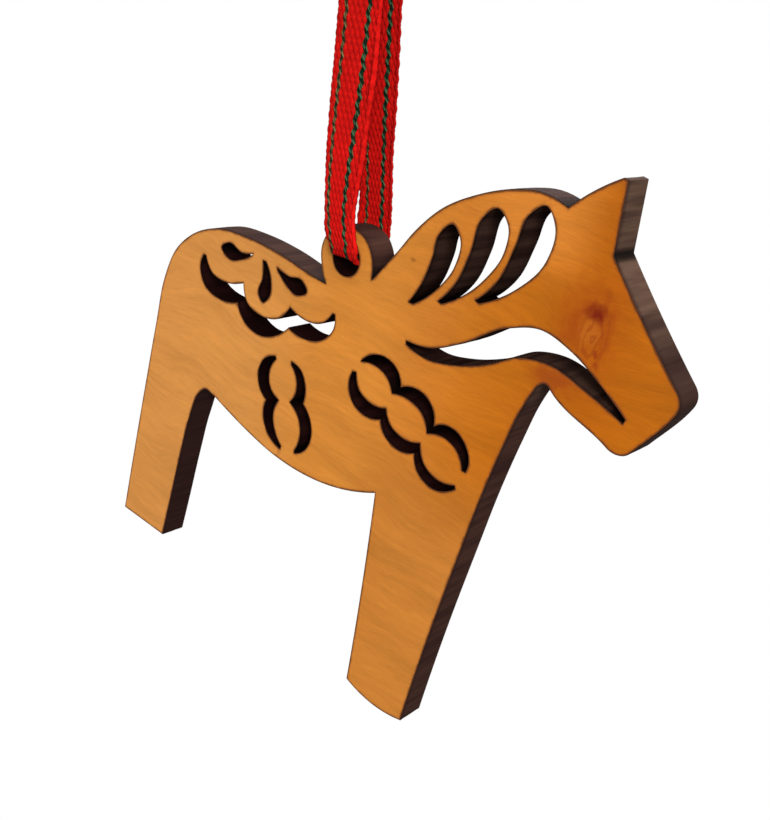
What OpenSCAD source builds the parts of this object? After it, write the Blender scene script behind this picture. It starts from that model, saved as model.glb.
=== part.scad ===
// Hanging dala horse: a flat horse cut from one board, pierced with folk-art slots,
// on a woven ribbon that runs through the ring on its back and is knotted above it.
// The origin is where the loop rests on its hook, just under the knot. The head points to +X,
// and the plate's faces look to -Y and +Y.

/* [Plate] */
// Thickness of the board the horse is cut from
plate_t = 4; // [3:0.5:5]
// Length of the horse, from the hind heel to the nose
horse_length = 82; // [76:1:100]
// Radius of the hole in the ring, which the ribbon runs through
hole_r = 2.1; // [2.05:0.05:2.4]

/* [Ribbon] */
// Width of the woven band where it lies flat
band_w = 7; // [6:0.5:8]
// Thickness of the woven band
band_t = 0.8; // [0.6:0.1:0.9]
// Height of the loop, from its hook down to the middle of the hole
drop = 30; // [26:1:60]
// How far the ring hangs towards the nose from the hook
lean = 2.2; // [0:0.2:3]

/* [Knot] */
// Width of the knot
knot_w = 8.5; // [7:0.5:11]
// Depth of the knot
knot_d = 6.5; // [5.5:0.5:8]
// Height of the knot
knot_h = 7.5; // [6:0.5:10]
// Length of the two loose ends above the knot
tail_length = 13; // [8:1:25]

/* [Hidden] */

// The outlines are drawn on an 82 mm horse, in mm, x towards the nose and z up.
// Each list is one smooth run between two corners.
outline_length = 82;
hole_at = [0.7, -0.4];
curve_steps = 4;
cut_steps = 5;

// Directions of a smooth curve at each of its points; two points make a straight line.
function inner_slope(a, b, c) =
    let (h = norm(b - a), k = norm(c - b))
    ((b - a) * k / h + (c - b) * h / k) / (h + k);
function slope(p, i) =
    let (last = len(p) - 1)
    last == 1 ? (p[1] - p[0]) / norm(p[1] - p[0])
    : i == 0 ? 2 * (p[1] - p[0]) / norm(p[1] - p[0]) - inner_slope(p[0], p[1], p[2])
    : i == last ? 2 * (p[i] - p[i - 1]) / norm(p[i] - p[i - 1])
        - inner_slope(p[i - 2], p[i - 1], p[i])
    : inner_slope(p[i - 1], p[i], p[i + 1]);

// A smooth curve through every point of a list, without its last point.
function spline(p, steps) = [
    for (i = [0 : len(p) - 2])
        let (
            chord = p[i + 1] - p[i],
            leave = slope(p, i) * norm(chord),
            arrive = slope(p, i + 1) * norm(chord)
        )
        for (s = [0 : len(p) == 2 ? 0 : steps - 1])
            let (t = s / steps)
            p[i] + t * leave + t * t * (3 * chord - 2 * leave - arrive)
                + t * t * t * (leave + arrive - 2 * chord)
];

// A closed outline from its smooth runs; each run ends where the next one starts.
function closed(runs, steps) = [
    for (i = [0 : len(runs) - 1])
        each spline(concat(runs[i], [runs[(i + 1) % len(runs)][0]]), steps)
];

body_runs = [
    // sole of the hind foot
    [[-26.7, -55.9]],
    // back of the hind leg, rump and back, up to the ring
    [[-36.8, -56.3], [-34.7, -33], [-33.6, -22], [-32.8, -15], [-31, -10.2], [-27.3, -6.5],
        [-22.5, -4.3], [-17, -3.6], [-10, -3.7], [-5, -4.3]],
    // ring
    [[-1.9, -4.5], [-3.2, -2.3], [-3.6, -0.4], [-3.1, 1.4], [-1.6, 2.9], [0.8, 3.5],
        [3.1, 2.9], [4.6, 1.2], [5.1, -0.2]],
    // neck and mane
    [[5.2, -1.4], [8, 2.9], [10, 6.2], [13, 9.7], [17, 12.4], [21, 14.2], [24.8, 15]],
    // ear
    [[28, 14.5], [30.3, 16.9]],
    [[32.9, 18.9]],
    [[33.5, 18.8]],
    // forehead
    [[34.3, 11.6]],
    // nose, muzzle and chin
    [[44.5, 1.8], [45.4, 0.5]],
    [[45.2, -0.9]],
    [[42.3, -6.1], [41.6, -6.9], [40.6, -7.2]],
    [[39.3, -6.9]],
    // jaw
    [[31.6, -4], [30.9, -3.7], [30.3, -4.1]],
    // chest and front of the front leg
    [[29.9, -4.9], [29, -7.8], [28.2, -12.2], [27.2, -19], [26.2, -29], [25.2, -40]],
    // sole of the front foot
    [[24.2, -55.4], [19.2, -56.3]],
    // back of the front leg
    [[14.3, -55.5], [13.4, -40]],
    // belly, groin and inside of the hind leg
    [[12.3, -27.1], [6, -29.7], [0, -30.8], [-6, -30.8], [-12, -29.8], [-17.5, -28.4],
        [-19.7, -27.8], [-21, -27.7], [-22.3, -28.9], [-23.6, -33], [-24.7, -40], [-25.8, -49]]
];

mane_slots = [
    [
        [[11.3, -1.9], [12.6, 1], [13.2, 4], [13.5, 7], [14.9, 8.4], [16.2, 7.2], [16.3, 4.3],
            [14.6, 0.9]],
        [[11.8, -1.9]]
    ],
    [
        [[15.3, -0.3], [17, 2.3], [18, 6.3], [18.5, 10.3], [20, 11.8], [21.7, 10.5], [22, 7.8],
            [20.4, 4.1]],
        [[15.7, -0.4]]
    ],
    [
        [[20.1, 1.6], [22.2, 4.5], [23.3, 8.9], [23.9, 12.3], [25.6, 13.8], [27.1, 12.2],
            [27.1, 8.4], [24.6, 4.6]],
        [[20.5, 1.5]]
    ]
];

bridle_slot = [
    [[12.1, -6.5], [15.2, -6.1], [19.5, -3.8], [25, 0.3], [28.7, 1.6], [32.5, 0.9], [37, -1.2]],
    [[40.5, -3.3]],
    [[40.4, -3.7], [36, -2.4], [30.5, -1.4], [27, -2.2], [23.5, -4.5], [19, -6.5], [15.2, -7.3]],
    [[12.2, -6.8]]
];

saddle_slot = [
    // lower edge, three scallops
    [[-24.8, -8.8], [-25.2, -10.6], [-24, -12.7], [-20.7, -13.6]],
    [[-16.9, -12.7], [-15.4, -14.6], [-12.3, -15.5], [-8.9, -14.3]],
    [[-6.9, -12.4], [-3.9, -12.7], [-0.7, -11.5], [0.6, -9.7]],
    // upper edge, back again
    [[0.5, -7.8]],
    [[0.2, -7.8], [-1.4, -9.7], [-4, -10.4]],
    [[-7.1, -9.8], [-8.9, -12], [-12.1, -12.9], [-15.2, -12.1]],
    [[-16.4, -9.8], [-19.9, -11], [-22.9, -10.6]],
    [[-24.4, -8.8]]
];

drop_slots = [
    [
        [[-15.3, -5.4], [-17.4, -6], [-20, -5.5], [-21.4, -6.5], [-19.8, -7.5], [-17.3, -6.8]]
    ],
    [
        [[-13.2, -5.6], [-12.8, -7.8], [-13.2, -10], [-12.2, -10.9], [-11.2, -9.7],
            [-11.5, -7.3]],
        [[-12.7, -5.6]]
    ],
    [
        [[-10.5, -5.6], [-8.3, -6], [-5.9, -5.7], [-4.8, -6.7], [-6.3, -7.7], [-8.8, -6.9]]
    ]
];

chest_slots = [
    [
        [[6.1, -11.6], [7.6, -10.2], [9.6, -9.7], [11.6, -10.4]],
        [[12.7, -12.3], [14.1, -11.6], [16.2, -11.6], [17.8, -12.7]],
        [[18.5, -14.8], [19.8, -13.9], [21.6, -13.8], [23.3, -14.8], [24.3, -16.6]],
        [[24.2, -17.8]],
        [[23.8, -17.8], [22.6, -16], [20.5, -15.2]],
        [[17.9, -15.8], [16.8, -14], [14.6, -13.1]],
        [[11.7, -13.4], [10.4, -11.8], [8.4, -11.2]]
    ],
    [
        [[5.1, -13.5], [4.9, -15.2], [6, -17.2], [8.6, -18]],
        [[10.8, -17.3], [11.8, -18.9], [14.2, -19.8]],
        [[16.8, -19], [17.6, -20.8], [20, -22]],
        [[23.4, -20.5]],
        [[23.3, -20.2], [20.4, -20.7], [18.4, -19.8]],
        [[17.2, -17.6], [14.6, -18.2], [12.3, -17.4]],
        [[11.2, -15.8], [8.6, -16.2], [6.4, -15.2]],
        [[5.6, -13.4]]
    ]
];

girth_slots = [
    [
        [[-8.4, -17.2], [-10.3, -18.4], [-11, -20.4], [-10.3, -22.5]],
        [[-8.7, -23.7], [-8.9, -25.7], [-7.8, -27.9]],
        [[-4.8, -29.3]],
        [[-4.8, -28.9], [-6.5, -27.1], [-7.2, -24.9]],
        [[-6.6, -22.8], [-8.4, -21.8], [-9.1, -19.9]],
        [[-8.2, -17.4]]
    ],
    [
        [[-5.3, -16.7], [-3.4, -17.2], [-2.3, -18.9]],
        [[-2.2, -21.3], [-0.6, -22.7], [0.2, -25], [-0.4, -27.2]],
        [[-2.1, -28.6]],
        [[-2.1, -28.2], [-1.6, -25.8], [-2.4, -23.5]],
        [[-4.4, -22.1], [-3.6, -20.3], [-3.9, -18.5]],
        [[-5.2, -17]]
    ]
];

slots = concat(mane_slots, [bridle_slot, saddle_slot], drop_slots, chest_slots, girth_slots);

size_k = horse_length / outline_length;
body_outline = size_k * closed(body_runs, curve_steps);
slot_outlines = [for (runs = slots) size_k * closed(runs, cut_steps)];
hole_centre = size_k * hole_at;

// Area and first moments [area, area * x, area * z] of a closed outline.
function sum(v, i = 0) = i < len(v) ? v[i] + sum(v, i + 1) : [0, 0, 0];
function moments(p) = sum([
    for (i = [0 : len(p) - 1])
        let (a = p[i], b = p[(i + 1) % len(p)], w = (a[0] * b[1] - b[0] * a[1]) / 2)
        [w, w * (a[0] + b[0]) / 3, w * (a[1] + b[1]) / 3]
]);
function positive(m) = m[0] < 0 ? -m : m;

hole_area = PI * hole_r * hole_r;
plate = positive(moments(body_outline))
    - sum([for (p = slot_outlines) positive(moments(p))])
    - hole_area * [1, hole_centre[0], hole_centre[1]];
mass_centre = [plate[1], plate[2]] / plate[0];

// The horse hangs nose-down by this angle, with its mass straight below the hole.
hang_tilt = atan2(mass_centre[0] - hole_centre[0], hole_centre[1] - mass_centre[1]);

module horse() {
    color("peru")
    translate([lean, 0, -drop])
    rotate([0, hang_tilt, 0])
    rotate([90, 0, 0])
    linear_extrude(plate_t, center = true)
    translate(-hole_centre)
    difference() {
        polygon(body_outline);
        translate(hole_centre) circle(hole_r, $fn = 64);
        for (p = slot_outlines) polygon(p);
    }
}

// Half of the band's route, from the knot down the front face to the middle of the hole, as
// [x and y from the middle of the hole, height above it, width, thickness]. The band is
// gathered where it goes through the hole.
face = plate_t / 2;
knot_gap = 0.05;
half_route = [
    [-lean, -1.5, drop - knot_gap, band_w, band_t],
    [-0.95 * lean, -1.6, drop - 4, band_w, band_t],
    [-0.68 * lean, -face - 0.2, 14, band_w, band_t],
    [-0.5 * lean, -face - 0.7, 8.5, band_w - 1, band_t + 0.1],
    [-0.3 * lean, -face - 1, 4.5, band_w - 1.5, band_t + 0.3],
    [-0.1 * lean, -face - 1.1, 2.4, band_w - 1.9, band_t + 0.5],
    [0, -face - 0.9, 1.4, band_w - 3, band_t + 0.7],
    [0, -face - 0.2, 0.8, band_w - 4, band_t + 0.8],
    [0, -face / 2, 0.65, band_w - 4, band_t + 0.8]
];
half_back = [
    for (i = [len(half_route) - 1 : -1 : 0])
        let (p = half_route[i])
        [p[0], -p[1], p[2], p[3], p[4]]
];
route = [
    for (p = concat(half_route, [[0, 0, 0.6, band_w - 4, band_t + 0.8]], half_back))
        p + [lean, 0, -drop, 0, 0]
];
band_section = [[-1, -0.35], [-0.6, -1], [0.6, -1], [1, -0.35], [1, 0.35], [0.6, 1], [-0.6, 1],
    [-1, 0.35]];

// A band swept along stations [x, y, z, width, thickness], its width always along the X axis.
// The two tangents say which way the end sections face.
module band(stations, first_tangent, last_tangent) {
    n = len(stations);
    m = len(band_section);
    points = [
        for (i = [0 : n - 1])
            let (
                s = stations[i],
                ahead = stations[min(i + 1, n - 1)],
                behind = stations[max(i - 1, 0)],
                run = i == 0 ? first_tangent
                    : i == n - 1 ? last_tangent
                    : [0, ahead[1] - behind[1], ahead[2] - behind[2]],
                out = cross(run / norm(run), [1, 0, 0])
            )
            for (c = band_section)
                [s[0] + c[0] * s[3] / 2, s[1], s[2]] + c[1] * s[4] / 2 * out
    ];
    sides = [
        for (i = [0 : n - 2], j = [0 : m - 1])
            let (a = i * m + j, b = i * m + (j + 1) % m)
            [a, a + m, b + m, b]
    ];
    first_cap = [for (j = [0 : m - 1]) j];
    last_cap = [for (j = [m - 1 : -1 : 0]) (n - 1) * m + j];
    polyhedron(points, concat([first_cap], sides, [last_cap]));
}

module ribbon() {
    color("red")
    band(concat(spline(route, 3), [route[len(route) - 1]]), [0, 0, -1], [0, 0, 1]);
}

// One loose end of the band, curling away from the middle as it rises.
module tail(side) {
    spread = 3;
    curl = 3.5;
    root = knot_h - 1.5;
    stations = [
        for (t = [0 : 0.125 : 1])
            [side * (1 + spread * t * t), side * (0.9 + curl * t * t),
                root + (tail_length + 1.5) * t, band_w - 2 * (1 - t), band_t]
    ];
    band(stations, [0, 0, 1], [0, side * 2 * curl, tail_length]);
}

module ribbon_knot() {
    foot_d = 4.2;
    foot_h = 0.4;
    lobe_r = knot_d / 2;
    color("firebrick") {
        hull() {
            translate([-band_w / 2, -foot_d / 2, 0]) cube([band_w, foot_d, foot_h]);
            for (side = [-1, 1])
                translate([side * (knot_w / 2 - lobe_r), 0, knot_h / 2 + 0.3])
                    sphere(lobe_r, $fn = 24);
            translate([-band_w / 3, -foot_d / 3, knot_h - foot_h])
                cube([band_w / 1.5, foot_d / 1.5, foot_h]);
        }
        tail(-1);
        tail(1);
    }
}

horse();
ribbon();
ribbon_knot();
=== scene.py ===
"""A flat dala horse, laser-cut from one board, on a woven ribbon that is knotted above it."""

import math

import bmesh
import bpy
import numpy as np
from mathutils import Euler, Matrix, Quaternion, Vector
from mathutils.geometry import delaunay_2d_cdt


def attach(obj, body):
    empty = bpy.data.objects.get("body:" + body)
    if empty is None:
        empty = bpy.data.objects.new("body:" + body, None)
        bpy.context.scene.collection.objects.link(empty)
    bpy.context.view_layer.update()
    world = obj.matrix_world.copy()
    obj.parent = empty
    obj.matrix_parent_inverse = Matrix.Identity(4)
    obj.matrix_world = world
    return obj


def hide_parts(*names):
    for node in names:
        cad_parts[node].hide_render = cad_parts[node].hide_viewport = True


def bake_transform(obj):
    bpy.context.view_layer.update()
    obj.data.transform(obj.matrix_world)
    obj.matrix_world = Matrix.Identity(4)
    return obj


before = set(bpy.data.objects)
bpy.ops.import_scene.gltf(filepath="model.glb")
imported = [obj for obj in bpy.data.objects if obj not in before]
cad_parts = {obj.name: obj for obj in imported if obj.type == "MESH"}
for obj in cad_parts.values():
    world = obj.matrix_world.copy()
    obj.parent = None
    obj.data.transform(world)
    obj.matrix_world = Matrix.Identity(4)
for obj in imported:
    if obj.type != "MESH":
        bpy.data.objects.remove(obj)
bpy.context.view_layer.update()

MM = 0.001  # lengths below are in millimetres, and become metres in the meshes

# The board hangs turned by TILT about the hole in its ring. Places "on the board" have x along
# its grain towards the nose and z up its face.
TILT = math.radians(5.94)
HOLE = Vector((2.2, 0, -30))  # where the middle of the hole hangs
HOLE_ON_BOARD = Vector((0.7, 0, -0.4))  # the same place on the board
PLATE = 4.0  # thickness


# ---------------------------------------------------------------- curves

def unit(v):
    return v / np.maximum(np.linalg.norm(v, axis=-1, keepdims=True), 1e-12)


def slopes(p):
    """Directions of a smooth curve at each of its points, weighted by the chords beside them."""
    chord = np.diff(p, axis=0)
    h = np.linalg.norm(chord, axis=1)[:, None]
    if len(p) == 2:
        return np.repeat(chord / h, 2, axis=0)
    inner = (chord[:-1] * h[1:] / h[:-1] + chord[1:] * h[:-1] / h[1:]) / (h[:-1] + h[1:])
    first = 2 * chord[0] / h[0] - inner[0]
    last = 2 * chord[-1] / h[-1] - inner[-1]
    return np.vstack([first, inner, last])


def smooth(p, steps=24):
    """A smooth curve through every row of p."""
    p = np.asarray(p, float)
    m = slopes(p)
    rows = []
    t = (np.arange(steps) / steps)[:, None]
    for a, b, ma, mb in zip(p[:-1], p[1:], m[:-1], m[1:]):
        chord = b - a
        h = np.linalg.norm(chord)
        leave, arrive = ma * h, mb * h
        rows.append(a + t * leave + t**2 * (3 * chord - 2 * leave - arrive)
                    + t**3 * (leave + arrive - 2 * chord))
    return np.vstack(rows + [p[-1:]])


def spaced(p, step, dims=3):
    """The rows of p again, at even steps along the line of their first columns."""
    run = np.r_[0, np.cumsum(np.linalg.norm(np.diff(p[:, :dims], axis=0), axis=1))]
    count = max(1, round(run[-1] / step))
    at = np.linspace(0, run[-1], count + 1)
    return np.column_stack([np.interp(at, run, column) for column in p.T]), at


# ---------------------------------------------------------------- materials

def rgb(r, g, b):
    """A screen colour, 0 to 255, as the renderer's linear colour."""
    def linear(c):
        c /= 255
        return c / 12.92 if c <= 0.04045 else ((c + 0.055) / 1.055) ** 2.4
    return (linear(r), linear(g), linear(b), 1)


class Shader:
    """One material's nodes. Each call adds a node and gives its output."""

    def __init__(self, name, **surface):
        self.material = bpy.data.materials.new(name)
        self.material.use_nodes = True
        self.tree = self.material.node_tree
        self.surface = self.tree.nodes["Principled BSDF"]
        for socket, value in surface.items():
            self.surface.inputs[socket.replace("_", " ")].default_value = value

    def add(self, kind, inputs, out=0, **settings):
        node = self.tree.nodes.new("ShaderNode" + kind)
        for key, value in settings.items():
            setattr(node, key, value)
        for key, value in inputs.items():
            if isinstance(value, bpy.types.NodeSocket):
                self.tree.links.new(value, node.inputs[key])
            else:
                node.inputs[key].default_value = value
        return node.outputs[out]

    def plug(self, socket, value):
        self.tree.links.new(value, self.surface.inputs[socket])

    def math(self, operation, *values):
        return self.add("Math", dict(enumerate(values)), operation=operation)

    def mix(self, factor, a, b):
        """The colour a where factor is 0, and b where it is 1."""
        return self.add("Mix", {0: factor, 6: a, 7: b}, out=2, data_type="RGBA")

    def ramp(self, value, lo, hi, to_lo=0.0, to_hi=1.0, shape="SMOOTHSTEP"):
        """Goes from to_lo to to_hi as value goes from lo to hi, and stays level beyond."""
        return self.add("MapRange", {"Value": value, "From Min": lo, "From Max": hi,
                                     "To Min": to_lo, "To Max": to_hi},
                        interpolation_type=shape)

    def scale_by(self, vector, factor):
        return self.add("VectorMath", {0: vector, "Scale": factor}, operation="SCALE")

    def scaled(self, vector, x, y, z):
        return self.add("VectorMath", {0: vector, 1: (x, y, z)}, operation="MULTIPLY")

    def plus(self, a, b):
        return self.add("VectorMath", {0: a, 1: b}, operation="ADD")

    def minus(self, a, b):
        return self.add("VectorMath", {0: a, 1: b}, operation="SUBTRACT")

    def noise(self, vector, detail, scale=1.0, roughness=0.5, out=0):
        return self.add("TexNoise", {"Vector": vector, "Scale": scale, "Detail": detail,
                                     "Roughness": roughness}, out=out)

    def times(self, a, b):
        return self.math("MULTIPLY", a, b)

    def blend(self, a, share, b):
        """share of a, and the rest of b."""
        return self.math("ADD", self.times(a, share), self.times(b, 1 - share))

    def length(self, vector):
        return self.add("VectorMath", {0: vector}, out=1, operation="LENGTH")

    def split(self, vector):
        node = self.tree.nodes.new("ShaderNodeSeparateXYZ")
        self.tree.links.new(vector, node.inputs[0])
        return node.outputs

    def edge_mm(self):
        """On the faces, the distance from the nearest cut. On the walls, from a sharp notch, which
        sets their painted shade.
        """
        return self.add("Attribute", {}, out=2, attribute_name="edge_mm")

    def bump(self, height, strength, distance):
        self.plug("Normal", self.add("Bump", {"Height": height, "Strength": strength,
                                              "Distance": distance}))

    def board_mm(self):
        """Places on the board, in mm."""
        turn = Euler((0, -TILT, 0))
        move = HOLE_ON_BOARD - turn.to_matrix() @ HOLE
        place = self.add("TexCoord", {}, out=3)
        return self.add("Mapping", {"Vector": place, "Scale": (1000, 1000, 1000),
                                    "Rotation": turn, "Location": move})


# The wood's colour along the board, pale honey at the rump and deeper orange at the head, as
# (x, screen colour)
TONES = [
    (-38, (224, 150, 74)),
    (-12, (222, 149, 72)),
    (0, (217, 138, 54)),
    (8, (216, 137, 52)),
    (16, (208, 125, 42)),
    (21, (201, 116, 28)),
    (26, (198, 111, 20)),
    (30, (190, 103, 14)),
    (36, (186, 97, 10)),
    (41, (189, 103, 13)),
    (46, (190, 104, 15)),
]

KNOT_IN_WOOD = (34.2, 0, 4.6)  # in the cheek
FLAMES_AT = (34.6, 0, 3.1)  # the middle of the flame-like rings round it

# Marks in the wood, as (x, z, half length along x, half length along z, softness of the edge,
# strength, screen colour)
MARKS = [
    (31.5, -2.8, 2.6, 1.3, 0.6, 0.7, (158, 66, 16)),  # stain under the throat
    (33.8, 4.4, 3.3, 4.0, 0.7, 0.62, (168, 74, 10)),  # the knot's surround
    (32.3, 3.2, 0.9, 1.9, 0.6, 0.45, (162, 68, 12)),
    (36.1, 3.4, 0.5, 2.4, 0.7, 0.4, (166, 72, 12)),
    (34.0, 3.3, 1.1, 1.5, 0.6, 0.5, (200, 112, 32)),  # its pale swirl
    (34.9, 6.6, 0.5, 1.4, 0.7, 0.4, (150, 58, 12)),
    (34.2, 5.8, 1.25, 1.0, 0.6, 0.92, (134, 42, 10)),  # its heart
    (34.4, 5.5, 0.5, 0.5, 0.7, 0.7, (116, 26, 8)),
    (35.5, 1.6, 0.3, 0.35, 0.5, 0.75, (148, 56, 12)),  # two specks below it
    (35.9, 0.6, 0.5, 0.35, 0.6, 0.6, (150, 58, 12)),
    (10.4, 2.9, 0.35, 0.2, 0.6, 0.7, (140, 78, 30)),  # a speck between the ring and the mane
]


def bent_grain(s, p):
    """Places p again, moved so that the grain bends round the knot and waves along the board."""
    away = s.minus(p, KNOT_IN_WOOD)
    near = s.ramp(s.length(s.scaled(away, 0.7, 0, 1)), 0, 8, 1, 0)
    q = s.minus(p, s.scale_by(s.scaled(away, 0, 0, 0.55), near))
    wave = s.ramp(s.noise(s.scaled(q, 0.05, 0.1, 0.09), 2), 0, 1, -3.5, 3.5, "LINEAR")
    return s.plus(q, s.add("CombineXYZ", {"Z": wave}))


def toned(s, p):
    """The wood's broad colour: TONES along the board, duller down the front leg and brighter on
    the crest of the neck."""
    x, _, z = s.split(p)
    tone = s.tree.nodes.new("ShaderNodeValToRGB")
    low, high = TONES[0][0], TONES[-1][0]
    ends = tone.color_ramp.elements
    ends[0].color, ends[1].color = rgb(*TONES[0][1]), rgb(*TONES[-1][1])
    for at, colour in TONES[1:-1]:
        ends.new((at - low) / (high - low)).color = rgb(*colour)
    s.tree.links.new(s.ramp(x, low, high, shape="LINEAR"), tone.inputs[0])
    leg = s.times(s.ramp(x, 4, 18), s.ramp(z, -14, -32))
    colour = s.mix(leg, tone.outputs[0], rgb(207, 130, 51))
    crest = s.times(s.times(s.ramp(x, 12, 22), s.ramp(z, 5, 12)), s.ramp(x, 27, 34, 1, 0))
    return s.mix(crest, colour, rgb(224, 136, 50))


def marked(s, p, colour):
    """The colour with MARKS on it, and fine flame-like rings round the knot."""
    drift = s.noise(s.scaled(p, 0.8, 0.8, 0.45), 3, out=1)
    drift = s.add("VectorMath", {0: drift, 1: (1.7, 0, 1.7), 2: (-0.85, 0, -0.85)},
                  operation="MULTIPLY_ADD")
    swirled = s.plus(p, drift)
    wobble = s.ramp(s.noise(p, 3, 0.9), 0.2, 0.8, -0.35, 0.35, "LINEAR")
    for x, z, half_x, half_z, soft, strength, tint in MARKS:
        off = s.scaled(s.minus(swirled, (x, 0, z)), 1 / half_x, 0, 1 / half_z)
        size = s.math("ADD", s.length(off), wobble)
        inside = s.ramp(size, 1 - soft, 1 + soft, 1, 0)
        colour = s.mix(s.times(inside, strength), colour, rgb(*tint))
    size = s.length(s.scaled(s.minus(swirled, FLAMES_AT), 0.85, 0, 0.36))
    rings = s.ramp(s.math("SINE", s.times(size, 11.0)), 0.1, 0.9)
    return s.mix(s.times(rings, s.ramp(size, 0.8, 2.1, 0.5, 0)), colour, rgb(150, 62, 12))


def scorched(s, p, colour):
    """The colour with a thin burnt line along every cut, and a warm tint beside it."""
    edge = s.edge_mm()
    uneven = s.noise(p, 4, 0.8, 0.6)
    for spread, start, stop, strength, tint in [
            (s.ramp(uneven, 0.3, 0.7, 0, 0.2, "LINEAR"), 0, 0.4, 0.4, (146, 76, 30)),
            (s.ramp(uneven, 0.35, 0.7, 0, 0.12, "LINEAR"), 0.02, 0.2, 0.75, (62, 36, 26))]:
        near = s.ramp(s.math("SUBTRACT", edge, spread), start, stop, strength, 0)
        colour = s.mix(near, colour, rgb(*tint))
    return colour


def wood():
    """The oiled front and back, with the grain's bands, rays, fine lines and pores."""
    s = Shader("oiled_wood", Roughness=0.6, Specular_IOR_Level=0.1)
    p = s.board_mm()
    q = bent_grain(s, p)
    bands = s.noise(s.scaled(q, 0.03, 0.06, 0.2), 2)
    rays = s.noise(s.scaled(q, 0.16, 0.3, 1.5), 4, roughness=0.6)
    fine = s.noise(s.scaled(q, 0.55, 1.0, 7.0), 3, roughness=0.65)
    pores = s.ramp(s.noise(s.scaled(q, 0.9, 2.0, 9.0), 2), 0.66, 0.74)
    colour = s.scale_by(toned(s, p), s.ramp(bands, 0.32, 0.68, 1.06, 0.92))
    colour = s.scale_by(colour, s.ramp(rays, 0.3, 0.7, 0.91, 1.07, "LINEAR"))
    colour = s.scale_by(colour, s.ramp(fine, 0.28, 0.72, 0.93, 1.06, "LINEAR"))
    colour = s.mix(s.times(pores, 0.35), colour, rgb(150, 84, 34))
    colour = scorched(s, p, marked(s, p, colour))
    s.plug("Base Color", s.scale_by(colour, 0.84))
    s.bump(s.blend(fine, 0.6, rays), 0.25, 0.00015)
    return s.material


def char(name, pale, deep, head, head_from, gloss):
    """The burnt wall that the laser leaves, with the beam's fine lines across the board. From
    x = head_from on, the neck's and head's walls have the head colour."""
    s = Shader(name, Roughness=0.8, Specular_IOR_Level=gloss)
    p = s.board_mm()
    x, y, z = s.split(p)
    lines = s.noise(s.scaled(p, 2.2, 0.1, 2.2), 3, roughness=0.6)
    broad = s.noise(s.scaled(p, 0.7, 0.06, 0.7), 2)
    towards_head = s.times(s.ramp(x, head_from, head_from + 7), s.ramp(z, -10, -5))
    # painted shade: the walls between and round the hind legs are darkened towards deep
    hind_leg_shade = s.times(s.ramp(x, 0, -10), s.ramp(z, -10, -18))
    colour = s.mix(towards_head, pale, head)
    colour = s.mix(s.times(hind_leg_shade, 0.75), colour, deep)
    colour = s.mix(s.ramp(x, 37, 43, 0, 0.75), colour, deep)  # the muzzle
    colour = s.mix(s.ramp(broad, 0.4, 0.66, 0, 0.6), colour, deep)
    colour = s.scale_by(colour, s.ramp(lines, 0.3, 0.7, 0.8, 1.18, "LINEAR"))
    # darker along the front, where the beam came in; and painted shade in the sharp notches, where
    # the walls close in
    colour = s.mix(s.ramp(y, -2.0, -1.3, 0.55, 0), colour, deep)
    colour = s.mix(s.ramp(s.edge_mm(), 0.2, 1.7, 0.93, 0), colour, rgb(10, 6, 5))
    s.plug("Base Color", colour)
    s.bump(lines, 0.5, 0.0001)
    return s.material


def yarn(name, deep, bright, marled=False):
    """Spun yarn of two plies, with a soft nap. A marled one has one deep and one bright ply.
    The UV layer "yarn" says how far round the yarn and how far along it, in mm, a place is."""
    s = Shader(name, Roughness=0.95, Specular_IOR_Level=0.05, Sheen_Weight=0.06,
               Sheen_Roughness=0.6, Sheen_Tint=bright)
    place = s.scale_by(s.add("TexCoord", {}, out=3), 1000)
    around, along, _ = s.split(s.add("UVMap", {}, uv_map="yarn"))
    turns = s.math("MULTIPLY_ADD", along, 0.95 if marled else 1.7, s.times(around, 2))
    ply = s.ramp(s.math("SINE", s.times(turns, 2 * math.pi)), -1, 1, 0, 1, "LINEAR")
    nap = s.noise(place, 3, 5.0, 0.65)
    patch = s.noise(place, 2, 0.5)
    shade = s.blend(ply, 0.3, nap)
    if marled:
        colour = s.mix(s.ramp(s.blend(ply, 0.75, nap), 0.5, 0.85), deep, bright)
    else:
        # painted shade: pale on the yarn's outer and inner faces, deep at its sides, where it lies
        # against the next yarn
        top = s.math("ABSOLUTE", s.math("SINE", s.times(around, 2 * math.pi)))
        colour = s.mix(s.ramp(s.blend(top, 0.55, shade), 0.3, 0.75), deep, bright)
    s.plug("Base Color", s.scale_by(colour, s.ramp(patch, 0.3, 0.7, 0.88, 1.1, "LINEAR")))
    s.bump(shade, 0.6, 0.00006)
    return s.material


# ---------------------------------------------------------------- the board

EASE = 0.07  # how far every edge of the board is eased
WALL_ROWS = 7  # rows of points down each wall
RIPPLE = 0.016  # the wall's unevenness from one of the beam's lines to the next
WAVER = 0.006  # its unevenness along each line
FACE, OUTER_WALL, SLOT_WALL = range(3)  # the board's materials

NOTCH_TURN = 0.5  # radians, from which a corner into the wood is a sharp notch
NOTCH_FULL_TURN = 1.4  # radians, from which a notch's painted shade reaches as far as any
FAR = 3.0  # the most that a wall's distance from a notch is given as

# Rows of points beside the cuts, as (distance from the cut, step along the cut's own points)
BESIDE_CUTS = [(0.22, 1), (0.45, 2), (0.85, 2)]
CLEAR = 0.93  # the share of its row's distance that such a point keeps from every cut
GRID = 1.4  # spacing of the points farther in
GRID_ROW = GRID * 0.866  # from one row of them to the next
GRID_MARGIN = 1.2  # how far they keep from the cuts

CHUNK = 1500  # points tested at a time, to spare memory


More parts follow.
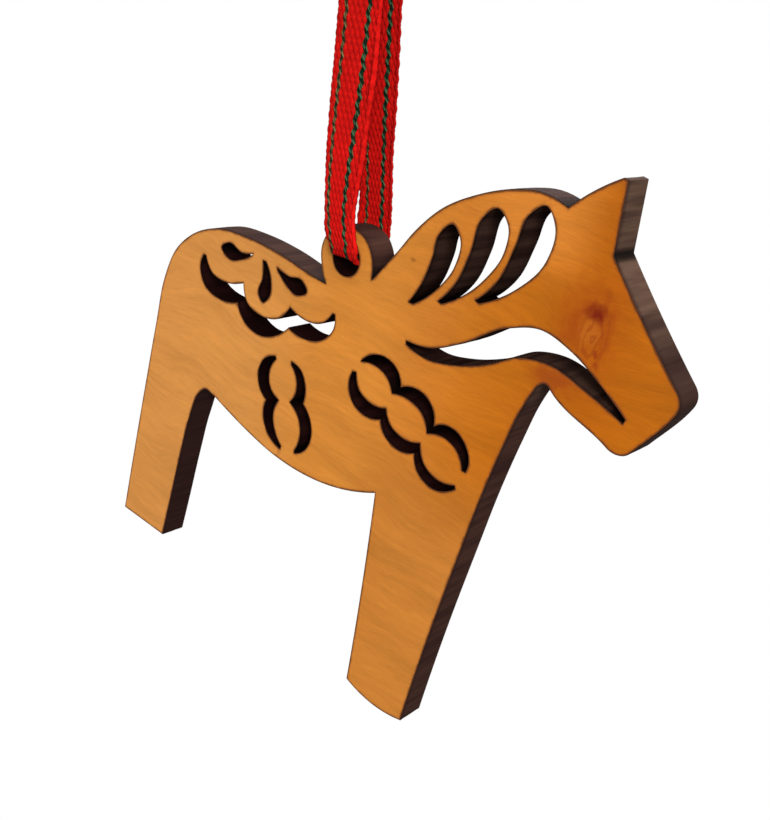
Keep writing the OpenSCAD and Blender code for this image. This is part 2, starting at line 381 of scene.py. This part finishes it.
def cut_lines(node):
    """The closed outlines of the board's front face, as (x, z) in mm, the wood on their left."""
    bm = bmesh.new()
    bm.from_mesh(node.data)
    bmesh.ops.remove_doubles(bm, verts=bm.verts, dist=1e-6)
    front = min(v.co.y for v in bm.verts)
    level = 1e-5  # how near the front a point counts as on it, in metres
    beside = {}
    for e in bm.edges:
        if len(e.link_faces) == 2 and all(abs(v.co.y - front) < level for v in e.verts):
            facing = sorted(abs(f.normal.y) for f in e.link_faces)
            if facing[0] < 0.5 < facing[1]:  # one is a wall, the other the face
                a, b = (v.index for v in e.verts)
                beside.setdefault(a, []).append(b)
                beside.setdefault(b, []).append(a)
    place = {v.index: (v.co.x / MM, v.co.z / MM) for v in bm.verts}
    bm.free()
    loops, seen = [], set()
    for start in sorted(beside):
        if start in seen:
            continue
        loop, here = [], start
        while here is not None:
            seen.add(here)
            loop.append(place[here])
            here = next((n for n in beside[here] if n not in seen), None)
        loops.append(np.array(loop))
    loops.sort(key=lambda p: -np.ptp(p[:, 0]))
    for i, p in enumerate(loops):
        x, z = p.T
        area = np.sum(x * np.roll(z, -1) - z * np.roll(x, -1))
        if (area > 0) != (i == 0):
            loops[i] = p[::-1]
    return loops


def turns_at(loop):
    """The turn at each point in radians, negative where the outline turns into the wood."""
    ahead = np.roll(loop, -1, axis=0) - loop
    behind = loop - np.roll(loop, 1, axis=0)
    return np.angle((ahead @ [1, 1j]) / (behind @ [1, 1j]))


def fair(loop, step=0.28, corner=math.radians(28)):
    """The outline again as smooth curves between its corners, with a point every step."""
    corners = np.flatnonzero(np.abs(turns_at(loop)) > corner)
    steps, lap = 12, 3  # curve points per given point, and how many a closed curve goes on by
    if len(corners) == 0:
        wrapped = np.vstack([loop[-lap:], loop, loop[:lap + 1]])
        curve = smooth(wrapped, steps)[lap * steps:-lap * steps]
        return spaced(curve, step, 2)[0][:-1]
    runs = []
    for a, b in zip(corners, np.roll(corners, -1)):
        count = (b - a) % len(loop) or len(loop)
        run = loop[(a + np.arange(count + 1)) % len(loop)]
        runs.append(spaced(smooth(run, steps), step, 2)[0][:-1])
    return np.vstack(runs)


def inward(loop):
    """At each point, the way into the wood, lengthened at corners to keep an offset parallel."""
    t = unit(np.roll(loop, -1, axis=0) - loop)
    left = np.column_stack([-t[:, 1], t[:, 0]])
    both = unit(left + np.roll(left, 1, axis=0))
    cos_half = np.sum(both * left, axis=1, keepdims=True)
    least = 0.45  # so that none is lengthened more than about twice
    return both / np.maximum(cos_half, least)


def distances(points, a, b):
    """From each point to the nearest of the segments a to b."""
    ab = b - a
    size = np.sum(ab * ab, axis=1)
    out = np.empty(len(points))
    for i in range(0, len(points), CHUNK):
        q = points[i:i + CHUNK, None] - a
        t = np.clip(np.sum(q * ab, axis=2) / size, 0, 1)
        out[i:i + CHUNK] = np.linalg.norm(q - t[..., None] * ab, axis=2).min(axis=1)
    return out


def in_wood(points, a, b):
    """Whether an odd number of segments lies to the right of each point."""
    out = np.empty(len(points), bool)
    dz = np.where(b[:, 1] == a[:, 1], 1e-12, b[:, 1] - a[:, 1])
    for i in range(0, len(points), CHUNK):
        x, z = points[i:i + CHUNK, 0:1], points[i:i + CHUNK, 1:2]
        cross = (a[:, 1] > z) != (b[:, 1] > z)
        hit = a[:, 0] + (z - a[:, 1]) * (b[:, 0] - a[:, 0]) / dz > x
        out[i:i + CHUNK] = (cross & hit).sum(axis=1) % 2 == 1
    return out


def notch_distance(loop):
    """How far each point is from a sharp corner that cuts into the wood, or FAR. The blunter the
    corner, the farther away it counts as."""
    turn = turns_at(loop)
    sharp = turn < -NOTCH_TURN
    if not sharp.any():
        return np.full(len(loop), FAR)
    gaps = np.linalg.norm(loop[:, None] - loop[sharp], axis=2)
    gaps /= np.minimum(-turn[sharp], NOTCH_FULL_TURN)
    return np.minimum(gaps.min(axis=1), FAR)


def segments(loops):
    """The starts and the ends of all the loops' segments."""
    return np.vstack(loops), np.vstack([np.roll(p, -1, axis=0) for p in loops])


def face_points(loops, into, rims):
    """The rims, then rows of points beside every cut, then a grid over the rest of the wood."""
    a, b = segments(loops)
    rows = [np.vstack(rims)]
    for gap, every in BESIDE_CUTS:
        row = np.vstack([(p + gap * n)[::every] for p, n in zip(loops, into)])
        rows.append(row[distances(row, a, b) > CLEAR * gap])
    low, high = a.min(axis=0), a.max(axis=0)
    xs = np.arange(low[0], high[0], GRID)
    zs = np.arange(low[1], high[1], GRID_ROW)
    grid = np.array([(x + (k % 2) * GRID / 2, z) for k, z in enumerate(zs) for x in xs])
    grid = grid[in_wood(grid, a, b)]
    rows.append(grid[distances(grid, a, b) > GRID_MARGIN])
    return np.vstack(rows)


def triangulated(points, rims):
    """The points as one flat mesh within the rims: its places, its triangles, and the place that
    each point became."""
    edges, start = [], 0
    for p in rims:
        n = len(p)
        edges += [(start + i, start + (i + 1) % n) for i in range(n)]
        start += n
    found = delaunay_2d_cdt([Vector(p) for p in points], edges, [], 0, 1e-7)
    xz = np.array([tuple(v) for v in found[0]])
    tris = np.array([list(f) for f in found[2]])
    became = np.zeros(len(points), int)
    for new, olds in enumerate(found[3]):
        became[olds] = new
    tris = tris[in_wood(xz[tris].mean(axis=1), *segments(rims))]
    p0, p1, p2 = (xz[tris[:, i]] for i in range(3))
    wrong = np.cross(p1 - p0, p2 - p0) < 0
    tris[wrong] = tris[wrong][:, ::-1]
    return xz, tris, became


def make_board():
    """The board with crisp, slightly eased and scorched edges, and its beam-cut walls."""
    half = PLATE / 2
    loops = [fair(p) for p in cut_lines(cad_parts["horse"])]
    into = [inward(p) for p in loops]
    rims = [p + EASE * n for p, n in zip(loops, into)]
    xz, tris, became = triangulated(face_points(loops, into, rims), rims)
    n = len(xz)
    verts = [np.column_stack([xz[:, 0], np.full(n, y), xz[:, 1]]) for y in (-half, half)]
    edge_mm = [np.maximum(distances(xz, *segments(loops)) - EASE, 0)] * 2
    faces = [tris, tris[:, ::-1] + n]
    kinds = [FACE] * (2 * len(tris))

    # each wall runs from the front rim to the back one, uneven between them
    quads = []
    levels = np.linspace(-half + EASE, half - EASE, WALL_ROWS)
    rng = np.random.default_rng(11)
    top, rim_start = 2 * n, 0
    for number, (p, way) in enumerate(zip(loops, into)):
        m = len(p)
        rough = rng.normal(0, RIPPLE, (m, 1)) + rng.normal(0, WAVER, (m, WALL_ROWS))
        rough[:, [0, -1]] = 0
        notch = notch_distance(p)
        rim = became[rim_start:rim_start + m]
        rows = [rim]
        for k, y in enumerate(levels):
            wall = p + way * rough[:, k:k + 1]
            verts.append(np.column_stack([wall[:, 0], np.full(m, y), wall[:, 1]]))
            edge_mm.append(notch)
            rows.append(top + k * m + np.arange(m))
        rows.append(rim + n)
        for lower, upper in zip(rows[:-1], rows[1:]):
            next_up, next_low = np.roll(upper, -1), np.roll(lower, -1)
            quads.append(np.column_stack([lower, upper, next_up, next_low]))
            kinds += [OUTER_WALL if number == 0 else SLOT_WALL] * m
        top += m * WALL_ROWS
        rim_start += m

    mesh = bpy.data.meshes.new("horse_board")
    mesh.from_pydata((np.vstack(verts) * MM).tolist(), [],
                     np.vstack(faces).tolist() + np.vstack(quads).tolist())
    mesh.polygons.foreach_set("material_index", kinds)
    edge = mesh.attributes.new("edge_mm", "FLOAT", "POINT")
    edge.data.foreach_set("value", np.concatenate(edge_mm))
    brown, umber, taupe = rgb(60, 37, 30), rgb(34, 16, 14), rgb(84, 63, 51)
    # the slots' walls are the same char as the outer walls, painted darker for the shade deep
    # inside the narrow slots
    maroon_in_shade, soot_and_shade, dun_in_shade = rgb(32, 14, 13), rgb(13, 5, 5), rgb(54, 37, 31)
    mesh.materials.append(wood())
    mesh.materials.append(char("burnt_edge", brown, umber, taupe, head_from=26, gloss=0.06))
    mesh.materials.append(char("burnt_slot_shaded", maroon_in_shade, soot_and_shade, dun_in_shade, head_from=8, gloss=0.0))
    mesh.polygons.foreach_set("use_smooth", [True] * len(mesh.polygons))
    mesh.set_sharp_from_angle(angle=math.radians(32))
    board = bpy.data.objects.new("horse_board", mesh)
    bpy.context.scene.collection.objects.link(board)
    return board


# ---------------------------------------------------------------- the woven band

PICK = 0.82  # from one weft to the next
STEP = PICK / 5  # from one ring of a yarn's tube to the next
REDS, GREEN, OLIVE = range(3)
# the warp from side to side, as (yarn, pitch)
ENDS = ([(REDS, 0.375)] * 4 + [(OLIVE, 0.27)] * 2 + [(REDS, 0.385)] * 7
        + [(GREEN, 0.33)] * 2 + [(REDS, 0.40)] * 4)
PITCHES = np.array([pitch for _, pitch in ENDS])
HALF_BAND = PITCHES.sum() / 2
ACROSS = np.cumsum(PITCHES) - PITCHES / 2 - HALF_BAND
THIN, THICK = -1.74, 1.57  # middles of the two stripes, across the flat band

YARN_T = 0.17  # half the thickness of a warp yarn
RISE = 0.065  # how far a warp yarn rises over the weft and sinks under it
TIGHTEST = 0.8  # the share of its flat width to which the band's yarns can be pressed together
WEFT_W, WEFT_T = 0.37, 0.07  # half the width and half the thickness of the weft, flat inside
LOOP_W, LOOP_T = 0.14, 0.12  # the same where it turns round at the band's sides
FLANK_W = 0.2  # half its width just before it turns
FLANK = HALF_BAND - 0.2  # how far out that is
TURN = HALF_BAND - 0.03  # how far out its turn starts and ends
STOPS = 13  # its places from one flank to the other


def tube(centres, side, out, half_w, half_t, kind, sides=6):
    """A tube through the centres, oval in the plane of side and out at each. Gives its points,
    its faces, their UVs and its kind of yarn."""
    n = len(centres)
    if np.sum(np.cross(side, out) * np.gradient(centres, axis=0)) < 0:
        side = -side  # keeps the faces looking outward
    angle = 2 * np.pi * np.arange(sides) / sides
    ring = (centres[:, None]
            + np.cos(angle)[None, :, None] * (side * half_w[:, None])[:, None]
            + np.sin(angle)[None, :, None] * (out * half_t[:, None])[:, None])
    i, j = np.meshgrid(np.arange(n - 1), np.arange(sides), indexing="ij")
    k = (j + 1) % sides
    quads = np.stack([i * sides + j, i * sides + k, (i + 1) * sides + k, (i + 1) * sides + j], -1)
    run = np.r_[0, np.cumsum(np.linalg.norm(np.diff(centres, axis=0), axis=1))]
    u0, u1, v0, v1 = j / sides, (j + 1) / sides, run[i], run[i + 1]
    uv = np.stack([np.stack([u0, v0], -1), np.stack([u1, v0], -1),
                   np.stack([u1, v1], -1), np.stack([u0, v1], -1)], -2)
    return ring.reshape(-1, 3), quads.reshape(-1, 4), uv.reshape(-1, 2), kind


def band_mesh(name, tubes):
    """One object from many tubes, capped at their ends."""
    verts, faces, uvs, kinds, base = [], [], [], [], 0
    for v, q, uv, kind in tubes:
        sides = int(q[0, 3] - q[0, 0])
        verts.append(v)
        faces += (q + base).tolist()
        uvs.append(uv)
        caps = [list(range(base + sides - 1, base - 1, -1)),
                list(range(base + len(v) - sides, base + len(v)))]
        faces += caps
        uvs.append(np.tile([0, uv[0, 1]], (sides, 1)))
        uvs.append(np.tile([0, uv[-1, 1]], (sides, 1)))
        kinds += [kind] * (len(q) + 2)
        base += len(v)
    mesh = bpy.data.meshes.new(name)
    mesh.from_pydata((np.vstack(verts) * MM).tolist(), [], faces)
    mesh.uv_layers.new(name="yarn").data.foreach_set("uv", np.vstack(uvs).ravel())
    mesh.polygons.foreach_set("material_index", kinds)
    mesh.polygons.foreach_set("use_smooth", [True] * len(mesh.polygons))
    for material in YARNS:
        mesh.materials.append(material)
    made = bpy.data.objects.new(name, mesh)
    bpy.context.scene.collection.objects.link(made)
    return made


def weave(lay, at, ragged=None):
    """The yarns of a band. lay(u, s) gives, for the line u across the band and the length s along
    it, the place, the side and outward directions, and how much the band is squeezed there.
    ragged is the range of rings by which the warp ends are cut short."""
    tubes = []
    rng = np.random.default_rng(5)
    for number, ((kind, pitch), u) in enumerate(zip(ENDS, ACROSS)):
        place, side, out, squeeze = lay(np.full(len(at), u), at)
        phase = np.pi * (at / PICK + number)
        rise = RISE * np.cos(phase)
        swell = np.cos(phase) ** 2
        half_w = pitch * np.maximum(squeeze, TIGHTEST) * (0.8 + 0.2 * swell)
        half_w = half_w * rng.uniform(0.95, 1.05)
        half_t = np.full(len(at), YARN_T)
        stop = len(at) - (rng.integers(*ragged) if ragged else 0)
        centre = place + out * rise[:, None]
        tubes.append(tube(*(row[:stop] for row in (centre, side, out, half_w, half_t)), kind))
    # the weft goes to and fro between the warp ends and turns round the outer ones; a frayed
    # end has lost its last two rows
    picks = int(at[-1] / PICK) - (2 if ragged else 0)
    rows_u, rows_s, widths = [], [], []
    for k in range(1, picks):
        way = 1 if k % 2 else -1
        rows_u += list(np.linspace(-FLANK, FLANK, STOPS) * way)
        rows_u += [way * TURN, way * HALF_BAND, way * TURN]
        rows_s += [k * PICK] * STOPS + [(k + 0.2) * PICK, (k + 0.5) * PICK, (k + 0.8) * PICK]
        widths += [FLANK_W] + [WEFT_W] * (STOPS - 2) + [FLANK_W] + [LOOP_W] * 3
    place, _, out, _ = lay(np.array(rows_u), np.array(rows_s))
    along = unit(np.gradient(place, axis=0))
    flat = unit(np.cross(along, out))
    half_w = np.array(widths)
    half_t = np.where(half_w == WEFT_W, WEFT_T, LOOP_T)
    tubes.append(tube(place, flat, out, half_w, half_t, REDS, sides=5))
    return tubes


# The band's way from the knot down the front, through the hole and up behind, as rows of
# [y, height above the hole's middle, then x from the hole's middle of the band's left side,
# thin stripe, thick stripe and right side]. Where the sides are nearer than the band is wide,
# it folds under itself.
FRONT = [
    [-1.5, 29.95, -5.72, -4.25, -0.7, 0.9],
    [-1.55, 28, -5.7, -4.23, -0.68, 0.95],
    [-1.7, 22.4, -5.48, -4.14, -0.62, 1.4],
    [-2.1, 15.8, -5.1, -3.89, -0.55, 1.8],
    [-2.7, 9.4, -4.2, -3.26, -0.42, 1.42],
    [-3.1, 5.3, -3.4, -2.54, -0.05, 1.5],
    [-3.3, 2.5, -2.65, -1.7, 0.7, 2.35],
    [-3.25, 1.3, -1.8, -1.3, 1.05, 2.7],
    [-2.85, 0.5, -1.75, -1.4, 0.85, 2.3],
    [-2.1, 0.27, -1.78, -1.4, 0.7, 2.15],
    [-1, 0.25, -1.75, -1.4, 0.7, 2.1],
]
MIDDLE = [0, 0.25, -1.75, -1.4, 0.7, 1.8]
REAR = [
    [1, 0.25, -1.75, -1.4, 0.7, 1.8],
    [2.1, 0.2, -1.8, -1.4, 0.7, 1.95],
    [2.75, 0.6, -2.1, -1.5, 0.72, 2.3],
    [2.9, 2, -2.7, -1.65, 0.72, 2.35],
    [2.8, 4.3, -2.75, -1.65, 0.75, 2.45],
    [2.6, 6.7, -2.55, -1.68, 0.72, 2.38],
    [2.3, 12.7, -3.5, -2.3, 0.35, 1.92],
    [2.0, 16.3, -4.4, -2.85, 0.25, 1.95],
    [1.7, 22.9, -5.0, -3.3, 0.0, 1.7],
    [1.55, 28, -5.4, -3.7, -0.26, 1.38],
    [1.5, 29.95, -5.5, -3.8, -0.33, 1.28],
]
FOLD = 0.34  # radius of the folds
SAG = 0.8  # how far the band bulges down in the hole


def folded(u, left, thin, thick, right):
    """How far across, and how far under its outer face, the band's line u lies. Between the
    stripes it lies flat. Beyond them it is pressed together a little, and then folds under."""
    k = (thick - thin) / (THICK - THIN)
    x = thin + (u - THIN) * k
    d = np.zeros_like(x)
    for way, stripe, place, limit in ((-1, THIN, thin, left), (1, THICK, thick, right)):
        scale = np.clip((limit - place) / (way * HALF_BAND - stripe), TIGHTEST, 1.08)
        beyond = (u - stripe) * way
        reach = beyond * scale
        room = np.maximum((limit - place) * way - FOLD - YARN_T, 0.05)
        over = np.maximum(reach - room, 0)
        angle = np.minimum(over / FOLD, np.pi)
        rest = np.maximum(over - np.pi * FOLD, 0)
        mine = beyond > 0
        x = np.where(mine, place + way * (np.minimum(reach, room) + FOLD * np.sin(angle) - rest), x)
        d = np.where(mine, FOLD * (1 - np.cos(angle)), d)
    return x, d


def make_ribbon():
    """The loop of band below the knot, and the line down its middle."""
    rows, at = spaced(smooth(FRONT + [MIDDLE] + REAR), STEP, 2)
    run = unit(np.gradient(rows[:, :2], axis=0))
    outward = np.column_stack([run[:, 1], -run[:, 0]])  # away from the ring
    table = np.column_stack([rows, outward])
    across = np.array([1.0, 0, 0])
    nudge = 0.02  # half the width over which the band's slope is taken

    def lay(u, s):
        y, h, left, thin, thick, right, oy, oz = (np.interp(s, at, c) for c in table.T)
        x0, d0 = folded(u - nudge, left, thin, thick, right)
        x1, d1 = folded(u + nudge, left, thin, thick, right)
        x, d = (x0 + x1) / 2, (d0 + d1) / 2
        out = unit(np.column_stack([np.zeros_like(oy), oy, oz]))
        place = np.column_stack([x + HOLE.x, y, h + HOLE.z]) - out * d[:, None]
        side = across * (x1 - x0)[:, None] - out * (d1 - d0)[:, None]
        squeeze = np.linalg.norm(side, axis=1) / (2 * nudge)
        side = unit(side)
        # its nose-side edge bulges lower through the hole
        sag = SAG * np.exp(-((y + 0.5) / 1.7) ** 2) * np.clip((x - 0.2) / 1.4, 0, 1.3) ** 2
        place = place + out * sag[:, None]
        return place, side, np.cross(side, np.cross(out, across)), squeeze

    ribbon = band_mesh("woven_ribbon", weave(lay, at))
    middle = lay(np.zeros(len(at)), at)[0]
    return ribbon, middle * MM


# The doubled band's way through the knot, as rows of [x, y, z, then its outward direction]
KNOT = [
    [-0.2, 0.5, 2.4, 0, -1, 0],
    [-1.0, 1.0, 3.6, -0.5, -0.8, 0],
    [-2.2, 0.9, 5.0, -0.9, 0.2, 0.3],
    [-1.8, -0.6, 6.3, -0.5, -0.3, 0.8],
    [-0.1, -1.9, 5.7, 0, -0.8, 0.6],
    [1.9, -2.2, 4.1, 0.4, -0.9, 0],
    [3.1, -0.9, 2.6, 0.9, -0.4, -0.3],
    [2.6, 1.2, 1.7, 0.7, 0.7, -0.3],
    [0.3, 2.3, 1.8, 0, 1, -0.1],
    [-2.2, 1.8, 2.1, -0.7, 0.7, 0],
    [-3.1, 0, 2.2, -1, 0, -0.1],
    [-2.2, -1.5, 2.6, -0.7, -0.7, 0],
    [-0.5, -1.1, 3.7, -0.1, -1, 0],
    [0.4, -0.4, 5.2, 0, -1, 0],
]
KNOT_WIDTH = 0.64  # of the flat width, drawn together in the knot
KNOT_CURL = 0.42  # the curl of the band across itself there, per mm
APART = 0.3  # from the middle of the doubled band to either band in it


def make_knot():
    """An overhand knot in the doubled band, and its two loose ends."""
    tubes = []
    for way, x0 in ((-1, -0.2), (1, 0.05)):
        # each row is its place, its outward direction, its share of the flat width and its curl
        rows = [[x0, way * 1.5, 0.0, 0, -1, 0, 0.95, 0.0],
                [x0, way * 1.25, 0.7, 0, -1, 0, 0.9, 0.06],
                [-0.1, way * 0.9, 1.5, 0, -1, 0, 0.78, 0.22]]
        for x, y, z, nx, ny, nz in KNOT:
            n = unit(np.array([nx, ny, nz]))
            place = np.array([x, y, z]) - way * APART * n
            rows.append([*place, *n, KNOT_WIDTH, KNOT_CURL])
        for t in (0.06, 0.2, 0.4, 0.6, 0.8, 1.0):
            rows.append([way * (0.7 + 3.3 * t * t), way * (0.5 + 3.9 * t * t), 6 + 14.5 * t,
                         0, -1, 0, 0.66 + 0.34 * min(1, t * 1.6), 0.4 * (1 - t) ** 2])
        rows, at = spaced(smooth(rows, 12), STEP)
        run = unit(np.gradient(rows[:, :3], axis=0))
        table = np.column_stack([rows, run])

        def lay(u, s):
            columns = [np.interp(s, at, c) for c in table.T]
            place, hint, run = (np.column_stack(columns[i:i + 3]) for i in (0, 3, 8))
            squeeze, curl = columns[6], np.maximum(columns[7], 1e-3)
            out = unit(hint - run * np.sum(hint * run, axis=1, keepdims=True))
            side = np.cross(run, out)
            angle = u * squeeze * curl
            x, d = np.sin(angle) / curl, (1 - np.cos(angle)) / curl
            place = place + side * x[:, None] - out * d[:, None]
            c, k = np.cos(angle)[:, None], np.sin(angle)[:, None]
            return place, side * c - out * k, out * c + side * k, squeeze

        tubes += weave(lay, at, ragged=(0, 5))
    return band_mesh("tied_knot", tubes)


# ---------------------------------------------------------------- the pieces

# in the order of REDS, GREEN and OLIVE
YARNS = [yarn("red_yarn", rgb(142, 9, 7), rgb(183, 16, 12)),
         yarn("green_yarn", rgb(10, 30, 18), rgb(62, 92, 62), marled=True),
         yarn("olive_yarn", rgb(26, 38, 22), rgb(106, 92, 58), marled=True)]

board = make_board()
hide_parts("horse")
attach(board, "horse")

knot = make_knot()
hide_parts("ribbon_knot")
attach(knot, "knot")

ribbon, middle = make_ribbon()
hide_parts("ribbon")
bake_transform(ribbon)


# ---------------------------------------------------------------- studio

# The floor's section, as (radius, height) in metres: flat, then curving up into the backdrop
BOWL = [(0.6, -0.30), (1.1, -0.27), (1.45, -0.12), (1.6, 0.2), (1.65, 0.8), (1.65, 1.3)]
BOWL_SIDES = 48

# The lamps, as (name, place in metres, size, power)
LIGHTS = [
    ("key", (0.76, -0.64, 0.38), 0.45, 13.8),
    ("fill", (-0.6, -0.6, 0.3), 0.5, 0.8),
    ("top", (0.15, -0.12, 0.9), 0.6, 8.0),
    ("back", (-0.35, 0.9, 0.45), 0.6, 6.5),
]
LIT_POINT = Vector((0, 0, -0.045))  # where they all point


def make_floor():
    """A pale floor that curves up into the backdrop all round. It is pale by its own glow, and
    casts no light back on the horse."""
    bm = bmesh.new()
    angles = [2 * math.pi * k / BOWL_SIDES for k in range(BOWL_SIDES)]
    rings = [[bm.verts.new((r * math.cos(a), r * math.sin(a), z)) for a in angles]
             for r, z in BOWL]
    centre = bm.verts.new((0, 0, BOWL[0][1]))
    for k in range(BOWL_SIDES):
        bm.faces.new((centre, rings[0][k], rings[0][(k + 1) % BOWL_SIDES]))
    for low, high in zip(rings[:-1], rings[1:]):
        for k in range(BOWL_SIDES):
            j = (k + 1) % BOWL_SIDES
            bm.faces.new((low[k], high[k], high[j], low[j]))
    for f in bm.faces:
        f.smooth = True
    mesh = bpy.data.meshes.new("floor")
    bm.to_mesh(mesh)
    bm.free()
    s = Shader("pale_floor", Roughness=1.0, Specular_IOR_Level=0.0, Base_Color=(0, 0, 0, 1),
               Emission_Color=(1, 1, 1, 1), Emission_Strength=1.0)
    mesh.materials.append(s.material)
    floor = bpy.data.objects.new("floor", mesh)
    bpy.context.scene.collection.objects.link(floor)
    floor.visible_diffuse = floor.visible_glossy = floor.visible_shadow = False


def light():
    """A weak even light from all round, and the soft lamps."""
    world = bpy.data.worlds.new("studio")
    world.use_nodes = True
    background = world.node_tree.nodes["Background"]
    background.inputs["Color"].default_value = (1, 1, 1, 1)
    background.inputs["Strength"].default_value = 0.3
    bpy.context.scene.world = world
    for name, place, size, power in LIGHTS:
        lamp = bpy.data.lights.new(name, "AREA")
        lamp.size = size
        lamp.energy = power
        lit = bpy.data.objects.new(name, lamp)
        lit.location = place
        lit.rotation_euler = (LIT_POINT - Vector(place)).to_track_quat("-Z", "Y").to_euler()
        bpy.context.scene.collection.objects.link(lit)


def shoot():
    """The camera, close in front and to the right, a little above and rolled."""
    azimuth, elevation, roll = (math.radians(v) for v in (38.96, 21.26, 7.08))
    aim, distance = Vector((9.38, 0, -47.54)), 123.3  # in mm
    level = math.cos(elevation)
    back = Vector((math.sin(azimuth) * level, -math.cos(azimuth) * level, math.sin(elevation)))
    lens = bpy.data.cameras.new("camera")
    lens.lens = 43.902
    lens.sensor_width = 36
    lens.sensor_fit = "AUTO"
    lens.clip_start = 0.005
    lens.clip_end = 20
    camera = bpy.data.objects.new("camera", lens)
    camera.location = (aim + distance * back) * MM
    turn = (-back).to_track_quat("-Z", "Y") @ Quaternion((0, 0, 1), roll)
    camera.rotation_euler = turn.to_euler()
    bpy.context.scene.collection.objects.link(camera)
    bpy.context.scene.camera = camera
    bpy.context.scene.view_settings.view_transform = "Standard"


make_floor()
light()
shoot()
